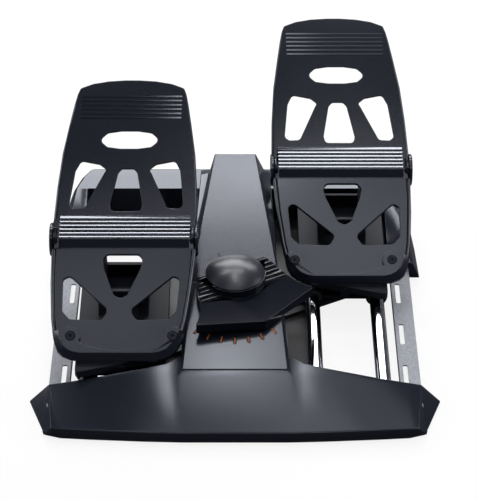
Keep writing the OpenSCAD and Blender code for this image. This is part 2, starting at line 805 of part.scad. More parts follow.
module grip_ridges() {
    ridge_w = 2;
    ridge_h = 1.2;
    ridge_first = 6;
    for (side = [-1, 1]) on_side(side) for (i = [0 : ridge_count - 1])
        let (y = ridge_first - i * ridge_pitch, start = sqrt(pow(drum_r - 1, 2) - pow(y, 2)), end = waist_x(y) - 1.5)
            translate([start, y - ridge_w / 2, roof_z(y) - 1]) cube([end - start, ridge_w, ridge_h + 1]);
}

module rotor_cap() {
    seat = rotor_z - 1;
    edge = 1;
    ball_r = (pow(dome_r, 2) + pow(dome_rise, 2)) / (2 * dome_rise);
    color("#33353d") rotor_rest() difference() {
        union() {
            translate([0, 0, seat]) cylinder(r = dome_r, h = edge + 1);
            intersection() {
                translate([0, 0, seat + edge + 1 + dome_rise - ball_r]) sphere(r = ball_r, $fn = 96);
                translate([0, 0, seat + edge]) cylinder(r = dome_r, h = 40);
            }
        }
        translate([0, 0, seat - 1]) cylinder(r = dome_r - 3, h = 3);
    }
}

hub_r = 11;
module rocker_arm() {
    color("#70747c") rotor_rest() difference() {
        union() {
            translate([0, 0, rocker_z]) linear_extrude(height = rocker_t) {
                circle(r = hub_r + 6);
                polygon([[-drive_r, -rocker_half_w], [drive_r, -rocker_half_w], [drive_r, rocker_half_w],
                    [-drive_r, rocker_half_w]]);
                for (side = [-1, 1]) translate([side * drive_r, 0]) circle(r = rocker_half_w);
            }
            translate([0, 0, rocker_z]) cylinder(r = hub_r, h = hub_top - rocker_z - face_gap);
        }
        translate([0, 0, rocker_z - 1]) cylinder(r = post_r + fit, h = post_top + 1);
        translate([0, 0, rocker_z - 1]) cylinder(r = post_r + 3.4, h = 1.8);
        for (side = [-1, 1]) {
            translate([side * drive_r, 0, rocker_z - 1]) cylinder(r = drive_pin_r - 1, h = rocker_t + 2);
            translate([side * 62, 0, rocker_z - 1]) linear_extrude(height = rocker_t + 2)
                polygon(rounded([[-24, -4], [24, -4], [24, 4], [-24, 4]], 3.5));
        }
    }
}

drive_pin_top = 19;
module drive_pin(side) {
    color("#c5c8cd") rotor_rest() translate([side * drive_r, 0, 0]) {
        translate([0, 0, rocker_z + 0.2]) cylinder(r = drive_pin_r - 1 - fit / 2, h = rocker_t);
        translate([0, 0, rocker_top_z]) cylinder(r = drive_pin_r, h = drive_pin_top - rocker_top_z);
        translate([0, 0, drive_pin_top - 0.6]) cylinder(r = drive_pin_r - 0.6, h = 1.2);
    }
}

module magnet() {
    ring_r = hub_r + 5;
    color("#55585e") rotor_rest() translate([0, 0, rocker_top_z]) difference() {
        cylinder(r = ring_r, h = 4);
        translate([0, 0, -1]) cylinder(r = hub_r + fit, h = 6);
    }
}

// Carriages, drawn for the right side with the drive pin's middle place at y = 0

carriage_in = rail_inner_x - sleeve_r;
carriage_out = rail_outer_x + sleeve_r;
pivot_y = elbow_y + pivot_back;
pivot_z = elbow_z - pivot_drop;
tower_x = pedal_x + 1;
tower_half = 24;
tower_wall = 6;
head_r = 7;
front_clear = 5.5;

function front_line(x) = -carriage_front - (x - knob_x) * carriage_sweep;

module carriage_plan() {
    polygon(rounded([[carriage_in - 2, front_line(carriage_in) + 4], [carriage_out - 1, front_line(carriage_out)],
        [carriage_out, carriage_rear], [carriage_in - 2, carriage_rear]], 4));
}

module tower_side() {
    rotate([90, 0, 90]) linear_extrude(height = tower_wall) polygon([[pivot_y - 44, deck_z - 1],
        [pivot_y - 40, deck_z + 6], [pivot_y - 8, pivot_z - 4], [pivot_y + 8, pivot_z - 4],
        [pivot_y + 22, deck_z + 8], [pivot_y + 22, deck_z - 1]]);
    translate([0, pivot_y, pivot_z]) rotate([0, 90, 0]) cylinder(r = head_r, h = tower_wall);
}

module carriage_body() {
    floor_z = 11;
    floor_t = 4;
    floor_front = -22;
    wall_in = carriage_in;
    difference() {
        union() {
            // Deck
            translate([0, 0, deck_z - deck_t]) linear_extrude(height = deck_t) carriage_plan();
            // Skirt round the deck
            translate([0, 0, deck_z - 8]) linear_extrude(height = 8) difference() {
                carriage_plan();
                translate([3, 3]) intersection() {
                    carriage_plan();
                    translate([-6, -6]) carriage_plan();
                }
            }
            // Sleeves round the rails, with webs up to the deck
            for (x = [rail_inner_x, rail_outer_x]) {
                translate([x, sleeve_front, rail_z]) rotate([-90, 0, 0])
                    cylinder(r = sleeve_r, h = carriage_rear - sleeve_front);
                translate([x - 3, sleeve_front, rail_z]) cube([6, carriage_rear - sleeve_front, deck_z - rail_z - 1]);
            }
            // Floor plate with the drive slot
            translate([rail_inner_x, floor_front, floor_z]) cube([rail_outer_x - rail_inner_x, 60, floor_t]);
            // Tower for the pedal's pin
            for (x = [tower_x - tower_half, tower_x + tower_half - tower_wall]) translate([x, 0, 0]) tower_side();
            translate([tower_x - tower_half, pivot_y - 30, deck_z - 1]) cube([2 * tower_half, 4, 20]);
            translate([tower_x - tower_half, pivot_y + 16, deck_z - 1]) cube([2 * tower_half, 4, 16]);
        }
        for (x = [rail_inner_x, rail_outer_x])
            translate([x, -far / 2, rail_z]) rotate([-90, 0, 0]) cylinder(r = bushing_r, h = far);
        translate([0, -far / 2, -20]) cube([far, far, 20 + sleeve_flat_z]);
        drive_slot();
        translate([tower_x, pivot_y, pivot_z]) rotate([0, 90, 0])
            cylinder(r = pivot_r + fit, h = 3 * tower_half, center = true);
        translate([knob_x, front_line(knob_x) - 1, knob_z]) rotate([-90, 0, 0]) cylinder(r = knob_stem_r + fit, h = 8);
        translate([knob_x, front_line(knob_x), knob_z]) rotate([90, 0, 0]) cylinder(r = knob_r + fit, h = 8);
    }
}

sleeve_front = -28;
module drive_slot() {
    x0 = drive_r * cos(27) - drive_play;
    x1 = drive_r + drive_play;
    r = drive_pin_r + drive_play;
    translate([0, 0, 5]) linear_extrude(height = 20) {
        translate([x0, -r]) square([x1 - x0, 2 * r]);
        translate([x0, 0]) circle(r = r);
        translate([x1, 0]) circle(r = r);
    }
}

module carriage(side) {
    color(black) at_rest(side) carriage_body();
}

module bushing(x, side) {
    color("#3a3c42") at_rest(side) translate([x, sleeve_front, rail_z]) rotate([-90, 0, 0]) difference() {
        cylinder(r = bushing_r - fit / 2, h = carriage_rear - sleeve_front);
        translate([0, 0, -1]) cylinder(r = rail_r + fit, h = far);
    }
}

knob_x = 107;
knob_z = deck_z - 5;
knob_stem_r = 2.5;
module knob(side) {
    color("#0f0f12") at_rest(side) translate([knob_x, front_line(knob_x), knob_z]) {
        rotate([90, 0, 0]) cylinder(r = knob_r, h = 3);
        rotate([-90, 0, 0]) cylinder(r = knob_stem_r, h = 5);
    }
}

sensor_t = 7;
module toe_sensor(side) {
    sensor_r = 7;
    color("#26282e") at_rest(side) translate([tower_x + tower_half, pivot_y, pivot_z]) rotate([0, 90, 0])
        difference() {
            union() {
                cylinder(r = sensor_r, h = sensor_t);
                translate([2, -6, 0]) cube([18, 12, sensor_t - 2]);
            }
            translate([0, 0, -1]) cylinder(r = pivot_r + fit, h = far);
        }
}

// Torsion spring round the pin, between the tower's ears: one tube, six sides, eight rings to a curl
spring_room = 2 * (tower_half - tower_wall);
module toe_spring(side) {
    n = spring_curls * 8 + 4;
    step = (spring_room - 2 * spring_wire_r) / n;
    pitch = 8 * step;
    lead = pitch / (2 * PI * spring_r);
    rings = [for (k = [0 : n]) let (a = 45 * k,
            p = [(k - n / 2) * step, spring_r * cos(a), spring_r * sin(a)],
            radial = [0, cos(a), sin(a)],
            tangent = [lead, -sin(a), cos(a)] / norm([lead, 1]),
            side_dir = cross(radial, tangent))
        [for (j = [0 : 5]) p + spring_wire_r * (radial * cos(60 * j) + side_dir * sin(60 * j))]];
    echo(spring_self_gap = pitch - 2 * spring_wire_r);
    color("#b9bcc2") at_rest(side) translate([tower_x, pivot_y, pivot_z]) loft(rings);
}

// Pedals, drawn for the right side: s runs up the plates from the elbow line, x across

pedal_widths = [[-112, 0.50], [-110.5, 0.62], [-107, 0.73], [-101, 0.81], [-90, 0.872], [-70, 0.925], [-35, 0.975],
    [0, 1.0], [30, 0.994], [60, 0.972], [93, 0.927], [122, 0.853], [141, 0.80], [151, 0.766], [157, 0.73],
    [161.5, 0.55], [164, 0.33], [165, 0.10]];
function stretch(s) = s > 0 ? s * upper_len / 165 : s * lower_len / 112;
function pedal_w(s) = pedal_half_w * lookup(s, pedal_widths);
function pedal_mid(s) = -pedal_skew * s;
// Outline of the whole pedal in the plates' own plane, moved in by i
function pedal_outline(i) = concat(
    [for (e = pedal_widths) let (s = stretch(e[0])) [pedal_mid(s) + pedal_half_w * e[1] - i, end_in(e[0], s, i)]],
    [for (k = [len(pedal_widths) - 1 : -1 : 0]) let (e = pedal_widths[k], s = stretch(e[0]))
        [pedal_mid(s) - pedal_half_w * e[1] + i, end_in(e[0], s, i)]]);
function end_in(key, s, i) = key > 150 ? s - i : (key < -105 ? s + i : s);
function skewed(pts) = [for (p = pts) [p[0] + pedal_mid(p[1]), p[1]]];
function flipped(pts) = [for (p = pts) [-p[0], p[1]]];

module cut_shape(pts, r) {
    polygon(rounded(skewed(pts), r));
}

module upper_cuts() {
    oval = [[-29, 106], [-21, 99.3], [-8, 97.6], [8, 97.6], [21, 99.3], [29, 106], [21, 113], [8, 114.9],
        [-8, 114.9], [-21, 113]];
    side_slot = [[23, 73], [20.5, 77], [27, 82], [45, 85.5], [50, 76], [54.5, 42], [50, 39], [39.5, 39.5]];
    middle_slot = [[-5.5, 78], [5.5, 78], [9, 74], [15.5, 43], [14, 36.5], [-14, 36.5], [-15.5, 43], [-9, 74]];
    cut_shape(oval, 5);
    cut_shape(side_slot, 4);
    cut_shape(flipped(side_slot), 4);
    cut_shape(middle_slot, 4);
}

module lower_cuts() {
    shield = [[-15, -5.5], [15, -5.5], [19, -11], [17, -20], [6, -47], [0, -50], [-6, -47], [-17, -20], [-19, -11]];
    wedge = [[49, -27.5], [10.5, -62], [16.5, -72], [46, -71], [53.5, -63], [55, -31]];
    cut_shape(shield, 4);
    cut_shape(wedge, 4);
    cut_shape(flipped(wedge), 4);
}

// Part of a plane's layer above or below the line that joins the two plates
module beyond_elbow(up) {
    mean_slope = (lower_slope + upper_slope) / 2;
    rotate([mean_slope, 0, 0]) translate([-far / 2, up ? 0 : -far, -far / 2]) cube([far, far, far]);
}

module plate_frame(slope) {
    rotate([slope, 0, 0]) children();
}

heel_line = -84;
module pedal_plates() {
    past = 14;
    intersection() {
        plate_frame(upper_slope) {
            translate([0, 0, -pedal_t]) linear_extrude(height = pedal_t) difference() {
                polygon(pedal_outline(0));
                upper_cuts();
                translate([-far / 2, -far - past]) square([far, far]);
            }
            translate([0, 0, -wall_depth]) linear_extrude(height = wall_depth - 1) difference() {
                polygon(pedal_outline(0));
                polygon(pedal_outline(side_wall));
                translate([-far / 2, -far - past]) square([far, far]);
            }
            translate([0, 0, -1]) linear_extrude(height = 2.2) rib_lines(6, 127.9, 4.2, 48.5, 1.7);
            translate([0, 0, -1]) linear_extrude(height = 2.6) rib_lines(7, 8.8, 3.65, 62, 1.9);
        }
        beyond_elbow(true);
    }
    intersection() {
        plate_frame(lower_slope) {
            translate([0, 0, -pedal_t]) linear_extrude(height = pedal_t) difference() {
                polygon(pedal_outline(heel_wall + fit));
                lower_cuts();
                translate([-far / 2, past]) square([far, far]);
            }
            translate([0, 0, -rim_depth]) linear_extrude(height = rim_depth) difference() {
                polygon(pedal_outline(0));
                polygon(pedal_outline(heel_wall));
                translate([-far / 2, heel_line - far]) square([far, far]);
                translate([-far / 2, past]) square([far, far]);
            }
        }
        beyond_elbow(false);
    }
}

module rib_lines(count, first, pitch, half, w) {
    for (i = [0 : count - 1]) let (s = first + i * pitch)
        translate([pedal_mid(s) - half, s - w / 2]) square([2 * half, w]);
}

heel_wall = 4;
// Side view of the pedal, which trims the walls: y and z from the elbow
module side_trim() {
    up = [cos(upper_slope), sin(upper_slope)];
    up_n = [sin(upper_slope), -cos(upper_slope)];
    low = [cos(lower_slope), sin(lower_slope)];
    low_n = [sin(lower_slope), -cos(lower_slope)];
    rotate([90, 0, 90]) translate([0, 0, -far / 2]) linear_extrude(height = far) {
        polygon([-130 * low + 20 * low_n, -130 * low - 30 * low_n, [-40, 60], 180 * up - 20 * up_n,
            180 * up + 7 * up_n, 120 * up + 14 * up_n, 60 * up + 24 * up_n, 36 * up + wall_depth * up_n,
            [pivot_back + 3, -pivot_drop - pivot_cap_r], [pivot_back - 6, -pivot_drop - pivot_cap_r],
            -12 * low + 12 * low_n, -20 * low + rim_depth * low_n, -100 * low + rim_depth * low_n]);
    }
}

cap_out = pedal_half_w + 2.2;
cap_in = pedal_half_w - 0.8;
module pivot_bosses() {
    boss_front = pivot_back - 12;
    for (side = [-1, 1]) on_side(side) intersection() {
        translate([pedal_half_w - side_wall - 2.2, pivot_back, -pivot_drop]) rotate([0, 90, 0])
            cylinder(r = pivot_cap_r - 0.5, h = side_wall + 2);
        translate([0, boss_front, -far / 2]) cube([far, far, far]);
    }
}

module pedal_place(side) {
    at_rest(side) translate([pedal_x, elbow_y, elbow_z]) children();
}

module pedal_body() {
    difference() {
        intersection() {
            union() {
                pedal_plates();
                pivot_bosses();
            }
            side_trim();
        }
        for (side = [-1, 1]) on_side(side) {
            translate([cap_in, pivot_back, -pivot_drop]) rotate([0, 90, 0]) cylinder(r = pivot_cap_r + fit, h = 20);
            heel_screw_line() translate([0, 0, -pedal_t - 1]) cylinder(r = 1.8, h = 2 * pedal_t);
        }
        translate([0, pivot_back, -pivot_drop]) rotate([0, 90, 0]) cylinder(r = pivot_r, h = far, center = true);
    }
}

module pedal(side) {
    color(charcoal) pedal_place(side) pedal_body();
}

// Places its children on the lower plate at the right-hand heel screw
module heel_screw_line() {
    plate_frame(lower_slope) translate([heel_screw_x, -heel_screw_s, 0]) children();
}

module heel_region() {
    smile_r = 77;
    smile_s = -103;
    ear_r = 9.5;
    intersection() {
        polygon(pedal_outline(0));
        union() {
            difference() {
                translate([-far / 2, heel_line + 1 - far]) square([far, far]);
                translate([pedal_mid(smile_s), smile_s + smile_r]) circle(r = smile_r, $fn = 96);
            }
            for (side = [-1, 1]) translate([side * heel_screw_x, -heel_screw_s]) circle(r = ear_r);
        }
    }
}

// Side view of the heel stop's front wall: deep in front, level with the rim at its ends
module heel_drop_room(drop) {
    rotate([90, 0, 90]) translate([0, 0, -far / 2]) linear_extrude(height = far) intersection() {
        translate([-far / 2, deck_z + 1.5 - elbow_z]) square([far, far]);
        rotate([0, 0, lower_slope]) polygon([[heel_line + 5, 5], [-far / 3, 5], [-far / 3, -drop], [heel_line - 16, -drop],
            [heel_line + 1, -rim_depth - 1], [heel_line + 5, -rim_depth - 1]]);
    }
}

module heel_stop(side) {
    front_drop = 17;
    color(black) pedal_place(side) difference() {
        union() {
            plate_frame(lower_slope) translate([0, 0, fit]) linear_extrude(height = heel_stop_t) heel_region();
            intersection() {
                plate_frame(lower_slope) translate([0, 0, -front_drop]) linear_extrude(height = front_drop + 1)
                    difference() {
                        polygon(pedal_outline(0));
                        polygon(pedal_outline(heel_wall));
                        translate([-far / 2, heel_line - 0.2]) square([far, far]);
                    }
                heel_drop_room(front_drop);
            }
        }
        for (s = [-1, 1]) on_side(s) heel_screw_line() {
            translate([0, 0, -pedal_t]) cylinder(r = 2.4, h = 20);
            translate([0, 0, heel_stop_t - 1.6]) cylinder(r = heel_head_r + 0.2, h = 20);
        }
    }
}

module heel_screws(side) {
    hex_r = 1.8;
    color("#0c0c0e") pedal_place(side) for (s = [-1, 1]) on_side(s) heel_screw_line() difference() {
        union() {
            translate([0, 0, heel_stop_t - 1.6]) cylinder(r = heel_head_r, h = 1.9);
            translate([0, 0, -pedal_t]) cylinder(r = 1.75, h = pedal_t + heel_stop_t - 1);
        }
        translate([0, 0, heel_stop_t - 0.9]) cylinder(r = hex_r, h = 4, $fn = 6);
    }
}

module pivot_pin(side) {
    color("#c5c8cd") pedal_place(side) translate([0, pivot_back, -pivot_drop]) rotate([0, 90, 0])
        cylinder(r = pivot_r - fit / 5, h = 2 * cap_in - 0.2, center = true);
}

module pivot_cap(side, outward) {
    dish = 0.8;
    color("#2b2d33") pedal_place(side) on_side(outward)
        translate([cap_in, pivot_back, -pivot_drop]) rotate([0, 90, 0]) difference() {
            rotate_extrude() polygon([[0, 0], [pivot_cap_r, 0], [pivot_cap_r, cap_out - cap_in - 1],
                [pivot_cap_r - 1, cap_out - cap_in], [0, cap_out - cap_in]]);
            translate([0, 0, cap_out - cap_in - dish]) cylinder(r = pivot_cap_r - 4, h = 4);
        }
}

front_cover();
spine_cover();
rotor_ring();
scale_marks();
rear_housing();
on_side(-1) side_plate();  // plate_left
side_plate();  // plate_right
rail(-rail_inner_x);  // rail_inner_left
rail(-rail_outer_x);  // rail_outer_left
rail(rail_inner_x);  // rail_inner_right
rail(rail_outer_x);  // rail_outer_right
front_bracket();
rear_bracket();
bottom_plate();
base_screws();
circuit_board();
cable_socket();
post();
foot(0);  // foot_middle
foot(1);  // foot_front_middle
foot(2);  // foot_front_left
foot(3);  // foot_front_right
foot(4);  // foot_rear_left
foot(5);  // foot_rear_right
rotor_shell();
rotor_cap();
rocker_arm();
drive_pin(-1);  // drive_pin_left
drive_pin(1);  // drive_pin_right
magnet();
carriage(-1);  // carriage_left
carriage(1);  // carriage_right
bushing(rail_inner_x, -1);  // bushing_inner_left
bushing(rail_outer_x, -1);  // bushing_outer_left
bushing(rail_inner_x, 1);  // bushing_inner_right
bushing(rail_outer_x, 1);  // bushing_outer_right
knob(-1);  // knob_left
knob(1);  // knob_right
toe_sensor(-1);  // toe_sensor_left
toe_sensor(1);  // toe_sensor_right
toe_spring(-1);  // toe_spring_left
toe_spring(1);  // toe_spring_right
pedal(-1);  // pedal_left
pedal(1);  // pedal_right
heel_stop(-1);  // heel_stop_left
heel_stop(1);  // heel_stop_right
heel_screws(-1);  // heel_screws_left
heel_screws(1);  // heel_screws_right
pivot_pin(-1);  // pivot_pin_left
pivot_pin(1);  // pivot_pin_right
pivot_cap(-1, 1);  // pivot_cap_outer_left
pivot_cap(-1, -1);  // pivot_cap_inner_left
pivot_cap(1, 1);  // pivot_cap_outer_right
pivot_cap(1, -1);  // pivot_cap_inner_right
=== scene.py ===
# %% [markdown]
# # Rudder pedals for flight simulation
#
# The object stands on the floor: two slotted foot plates ride on carriages over round rails, and a rocker on a
# sloping centre spine makes one pedal come forward as the other goes back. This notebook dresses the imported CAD
# model. A CAD node whose shape is right stays as it is and gets a finish. Moulded parts that need soft edges are
# replaced by rounded copies of themselves, and the worn ribs of the treads are modelled anew.

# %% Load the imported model
import json
import math

import bmesh
import bpy
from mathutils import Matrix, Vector
from mathutils.bvhtree import BVHTree


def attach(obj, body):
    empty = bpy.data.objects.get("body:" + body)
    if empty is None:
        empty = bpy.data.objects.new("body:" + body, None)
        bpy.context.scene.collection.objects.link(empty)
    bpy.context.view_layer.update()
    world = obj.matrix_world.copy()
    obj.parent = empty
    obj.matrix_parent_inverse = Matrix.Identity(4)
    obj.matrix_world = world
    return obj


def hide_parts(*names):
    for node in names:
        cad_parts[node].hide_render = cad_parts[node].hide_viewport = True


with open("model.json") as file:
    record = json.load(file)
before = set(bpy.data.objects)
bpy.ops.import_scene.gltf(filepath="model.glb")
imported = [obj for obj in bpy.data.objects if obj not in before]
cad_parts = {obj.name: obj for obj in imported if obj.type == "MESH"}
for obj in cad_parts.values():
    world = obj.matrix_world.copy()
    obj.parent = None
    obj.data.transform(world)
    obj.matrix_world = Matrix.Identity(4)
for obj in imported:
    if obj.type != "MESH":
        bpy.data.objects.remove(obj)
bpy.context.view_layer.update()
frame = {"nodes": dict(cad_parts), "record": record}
nodes = frame["nodes"]
body_of_node = {n: body for body, members in frame["record"]["behaviour"]["bodies"].items() for n in members}
slot_of_node = {s["node"]: s["material_slot"] for s in frame["record"]["subparts"]}
scene = bpy.context.scene

# %% [markdown]
# ## Camera, floor and lamps
#
# The photograph was taken from the middle, looking down at 38 degrees, with a long lens about 1.9 m away. Upright
# edges lean together by an amount that gives the angle, and the two equal foot plates, seen at two depths, give the
# distance. The picture is 478 by 500 pixels, so its long side is the upright one, and Blender's 36 mm sensor lies
# along it.

# %% Camera
def add_camera(place, pitch, lens):
    """A camera that looks along +Y, pitched down, and is the scene's own."""
    bpy.ops.object.camera_add(location=place, rotation=(math.radians(90 - pitch), 0, 0))
    camera = bpy.context.object
    camera.name = "photo_camera"
    camera.data.lens = lens
    camera.data.sensor_width = 36
    camera.data.sensor_fit = "AUTO"
    camera.data.clip_end = 20
    scene.camera = camera
    return camera


camera = add_camera(place=(0.00374, -1.45086, 1.23333), pitch=38, lens=140.08)
scene.view_settings.view_transform = "Standard"
print("camera", tuple(round(v, 3) for v in camera.location), camera.data.lens, "mm")


# %% [markdown]
# Every material here is made of nodes. A small builder keeps that readable: it adds a node, sets its plain values
# and joins its sockets by name. The steps that many finishes share, such as arithmetic on a pattern, get a short
# helper each.

# %% Node builder
def add_node(tree, kind, inputs=None, **settings):
    """A shader node of a kind, with its settings, and its inputs set to values or linked to output sockets."""
    node = tree.nodes.new(kind)
    for key, value in settings.items():
        setattr(node, key, value)
    for key, value in (inputs or {}).items():
        socket = node.inputs[key]
        if isinstance(value, bpy.types.NodeSocket):
            tree.links.new(value, socket)
        else:
            socket.default_value = value
    return node


def calculate(tree, operation, a, b):
    """The output of a Math node."""
    return add_node(tree, "ShaderNodeMath", {0: a, 1: b}, operation=operation).outputs[0]


def spread(tree, value, low, high, new_low=0.0, new_high=1.0):
    """The output of a Map Range node: low to high becomes new_low to new_high."""
    return add_node(tree, "ShaderNodeMapRange", {
        "Value": value, "From Min": low, "From Max": high, "To Min": new_low, "To Max": new_high}).outputs[0]


def blend_colours(tree, share, first, second):
    """The colour output of a Mix node. Its colour sockets are numbers 6 and 7, and its colour output is number 2."""
    return add_node(tree, "ShaderNodeMix", {0: share, 6: first, 7: second}, data_type="RGBA").outputs[2]


def blend_shaders(tree, share, first, second):
    """The output of a Mix Shader: a share of 0 gives the first shader and 1 the second."""
    return add_node(tree, "ShaderNodeMixShader", {0: share, 1: first, 2: second}).outputs[0]


def new_material(name):
    """An empty material, and its node tree."""
    material = bpy.data.materials.new(name)
    material.use_nodes = True
    material.node_tree.nodes.clear()
    return material, material.node_tree


def finish_material(tree, shader):
    add_node(tree, "ShaderNodeOutputMaterial", {"Surface": shader})


# %% [markdown]
# The floor is plain and pale. The photograph's ground is pure white, so the camera sees most of it as white light,
# and the share of real shading that stays keeps the shadow of the pedals. Reflections and bounced light meet a
# duller floor, because the dark front lip of the object shows that little light came up from below. Light Path tells
# these rays apart.

# %% Floor
camera_white = 0.86
seen_floor = (0.82, 0.82, 0.82, 1)
mirrored_floor = (0.1, 0.1, 0.11, 1)
bounced_floor = (0.4, 0.4, 0.41, 1)
just_below_feet = -0.0004


def floor_material():
    material, tree = new_material("floor_white")
    path = add_node(tree, "ShaderNodeLightPath")
    matt, dull, bounced = (add_node(tree, "ShaderNodeBsdfDiffuse", {"Color": colour}).outputs[0]
                           for colour in (seen_floor, mirrored_floor, bounced_floor))
    white = add_node(tree, "ShaderNodeEmission", {"Color": (1, 1, 1, 1), "Strength": 1.0}).outputs[0]
    seen = blend_shaders(tree, camera_white, matt, white)
    unseen = blend_shaders(tree, path.outputs["Is Glossy Ray"], bounced, dull)
    finish_material(tree, blend_shaders(tree, path.outputs["Is Camera Ray"], unseen, seen))
    return material


def add_floor(size):
    bpy.ops.object.select_all(action="DESELECT")
    bpy.ops.mesh.primitive_plane_add(size=size, location=(0, 0, just_below_feet))
    floor = bpy.context.object
    floor.name = "floor"
    floor.data.materials.append(floor_material())
    return floor


floor = add_floor(size=8)
print(floor.name, tuple(floor.dimensions))


# %% [markdown]
# The world is the room round the object. The camera sees it white, as the photograph's background is. The object
# gets only a weak cool grey from it, which keeps the sides away from the lamps from going quite black.

# %% World
room_colour = (0.9, 0.94, 1, 1)
room_strength = 0.1


def set_world():
    """White where the camera sees it, and a grey room in the light and the reflections."""
    world = bpy.data.worlds.new("studio")
    scene.world = world
    world.use_nodes = True
    tree = world.node_tree
    tree.nodes.clear()
    path = add_node(tree, "ShaderNodeLightPath")
    room = add_node(tree, "ShaderNodeBackground", {"Color": room_colour, "Strength": room_strength}).outputs[0]
    white = add_node(tree, "ShaderNodeBackground", {"Color": (1, 1, 1, 1), "Strength": 1.0}).outputs[0]
    add_node(tree, "ShaderNodeOutputWorld",
             {"Surface": blend_shaders(tree, path.outputs["Is Camera Ray"], room, white)})
    return world


print("world", set_world().name)


# %% [markdown]
# Dark glossy plastic has almost no colour of its own: it looks as light as what it mirrors, so the photograph's soft
# gradients tell where the lamps were. One lamp over the object would light every surface alike. Instead each flat
# surface was traced to the patch of ceiling that it mirrors towards the camera, and a level panel hangs there if the
# photograph shows the surface light. The spine mirrors a bright strip far behind, the front cover the middle of the
# ceiling, the heel halves of the foot plates a patch further forward, and the steep upper halves one near the
# camera. All that is level mirrors the wide box behind, and two boxes at the sides draw the edges.

# %% Softboxes and ceiling panels
ceiling = 1.5


def add_softbox(name, place, target, size, brightness, colour=(1, 1, 1)):
    """A rectangular area lamp at a place, aimed at a target. Its brightness is what a mirror would show."""
    bpy.ops.object.light_add(type="AREA", location=place)
    lamp = bpy.context.object
    lamp.name = name
    lamp.rotation_euler = (Vector(target) - Vector(place)).to_track_quat("-Z", "Y").to_euler()
    lamp.data.shape = "RECTANGLE"
    lamp.data.size, lamp.data.size_y = size
    lamp.data.energy = brightness * math.pi * size[0] * size[1]
    lamp.data.color = colour
    return lamp


def add_ceiling_panel(name, left, right, near, far, brightness):
    """A level lamp overhead, given by its edges."""
    middle = ((left + right) / 2, (near + far) / 2)
    return add_softbox(name, (*middle, ceiling), (*middle, 0), (right - left, far - near), brightness)


# %% [markdown]
# With the Standard view a panel's brightness can be read off the photograph. This plastic mirrors about 4 % of the
# light straight on and more at a slant, so a surface at a tenth of white asks for a panel of about 2.5. The strip
# behind the spine is far brighter, because it is narrow and the grain spreads it over the spine's whole length.

# %% Lamps in place
cool = (0.97, 0.98, 1.0)
# Left, right, near and far edge in metres, and brightness
ceiling_panels = {
    "spine_strip": (-0.75, 0.42, 0.788, 0.895, 25),
    "cover_panel_rear": (-0.1, 0.05, 0.3, 0.56, 12),
    "cover_panel_front": (-0.1, 0.05, 0.01, 0.3, 10),
    "cover_panel_side": (0.05, 0.12, 0.02, 0.56, 4.5),
    "ceiling_right": (0.12, 0.6, 0.02, 0.5, 1.15),
    "heel_panel_right": (0.04, 0.42, -0.34, 0.0, 2.2),
    "heel_panel_left": (-0.42, -0.06, -0.44, -0.12, 1.5),
    "tread_panel_right": (0.02, 0.36, -1.0, -0.68, 4),
    "tread_panel_left": (-0.36, -0.02, -1.2, -0.88, 3),
}
for name, panel in ceiling_panels.items():
    add_ceiling_panel(name, *panel)
add_softbox("back_wall", (0, 1.6, 1.05), (0, 0.08, 0.06), size=(2.0, 0.8), brightness=7, colour=cool)
add_softbox("left_softbox", (-1.5, 0.1, 0.7), (0, 0, 0.06), size=(1.1, 0.9), brightness=4)
add_softbox("right_softbox", (1.4, 0.1, 0.8), (0, 0, 0.06), size=(0.9, 0.9), brightness=4)


# %% [markdown]
# ## Shared surface effects
#
# Nearly everything is moulded plastic. Its look comes from the mould: a fine spark-eroded grain that scatters the
# highlight, broad patches where the gloss differs a little, and a colour that is never quite even. Each plastic could
# have its own copy of these nodes, but a node group is built once, and each plastic gives it its own numbers.

# %% Group for moulded plastic
patch_size = 14.0


def new_group(name, ins, outs):
    """A node group with named inputs and outputs. ins holds (name, socket type, default)."""
    group = bpy.data.node_groups.new(name, "ShaderNodeTree")
    for title, kind, default in ins:
        socket = group.interface.new_socket(name=title, in_out="INPUT", socket_type=kind)
        if default is not None:
            socket.default_value = default
    for title, kind in outs:
        group.interface.new_socket(name=title, in_out="OUTPUT", socket_type=kind)
    return group, group.nodes.new("NodeGroupInput").outputs, group.nodes.new("NodeGroupOutput").inputs


def moulded_grain_group():
    tree, given, made = new_group("moulded_grain", [
        ("Vector", "NodeSocketVector", None),
        ("Grain size", "NodeSocketFloat", 900.0),
        ("Grain depth", "NodeSocketFloat", 1.0),
        ("Colour", "NodeSocketColor", (0.02, 0.02, 0.02, 1)),
        ("Pale colour", "NodeSocketColor", (0.03, 0.03, 0.03, 1)),
        ("Roughness", "NodeSocketFloat", 0.4),
        ("Unevenness", "NodeSocketFloat", 0.05),
    ], [("Colour", "NodeSocketColor"), ("Roughness", "NodeSocketFloat"), ("Height", "NodeSocketFloat")])
    at = {"Vector": given["Vector"]}
    grain = add_node(tree, "ShaderNodeTexNoise", {
        **at, "Scale": given["Grain size"], "Detail": 3.0, "Roughness": 0.65}).outputs[0]
    pits = add_node(tree, "ShaderNodeTexVoronoi", {**at, "Scale": given["Grain size"]}).outputs["Distance"]
    patches = add_node(tree, "ShaderNodeTexNoise", {**at, "Scale": patch_size, "Detail": 4.0}).outputs[0]
    height = calculate(tree, "MULTIPLY", calculate(tree, "ADD", grain, pits), given["Grain depth"])
    change = calculate(tree, "MULTIPLY", calculate(tree, "SUBTRACT", patches, 0.5), given["Unevenness"])
    roughness = calculate(tree, "ADD", change, given["Roughness"])
    colour = blend_colours(tree, spread(tree, grain, 0.3, 0.72), given["Colour"], given["Pale colour"])
    for name, value in (("Colour", colour), ("Roughness", roughness), ("Height", height)):
        tree.links.new(value, made[name])
    return tree


moulded_grain = moulded_grain_group()
print("group", moulded_grain.name)


# %% [markdown]
# Metal here is tube and wire that was drawn through a die, or turned and plated. Both leave fine marks in one
# direction, and hands leave duller patches. Noise stretched along one axis gives the marks without any picture.

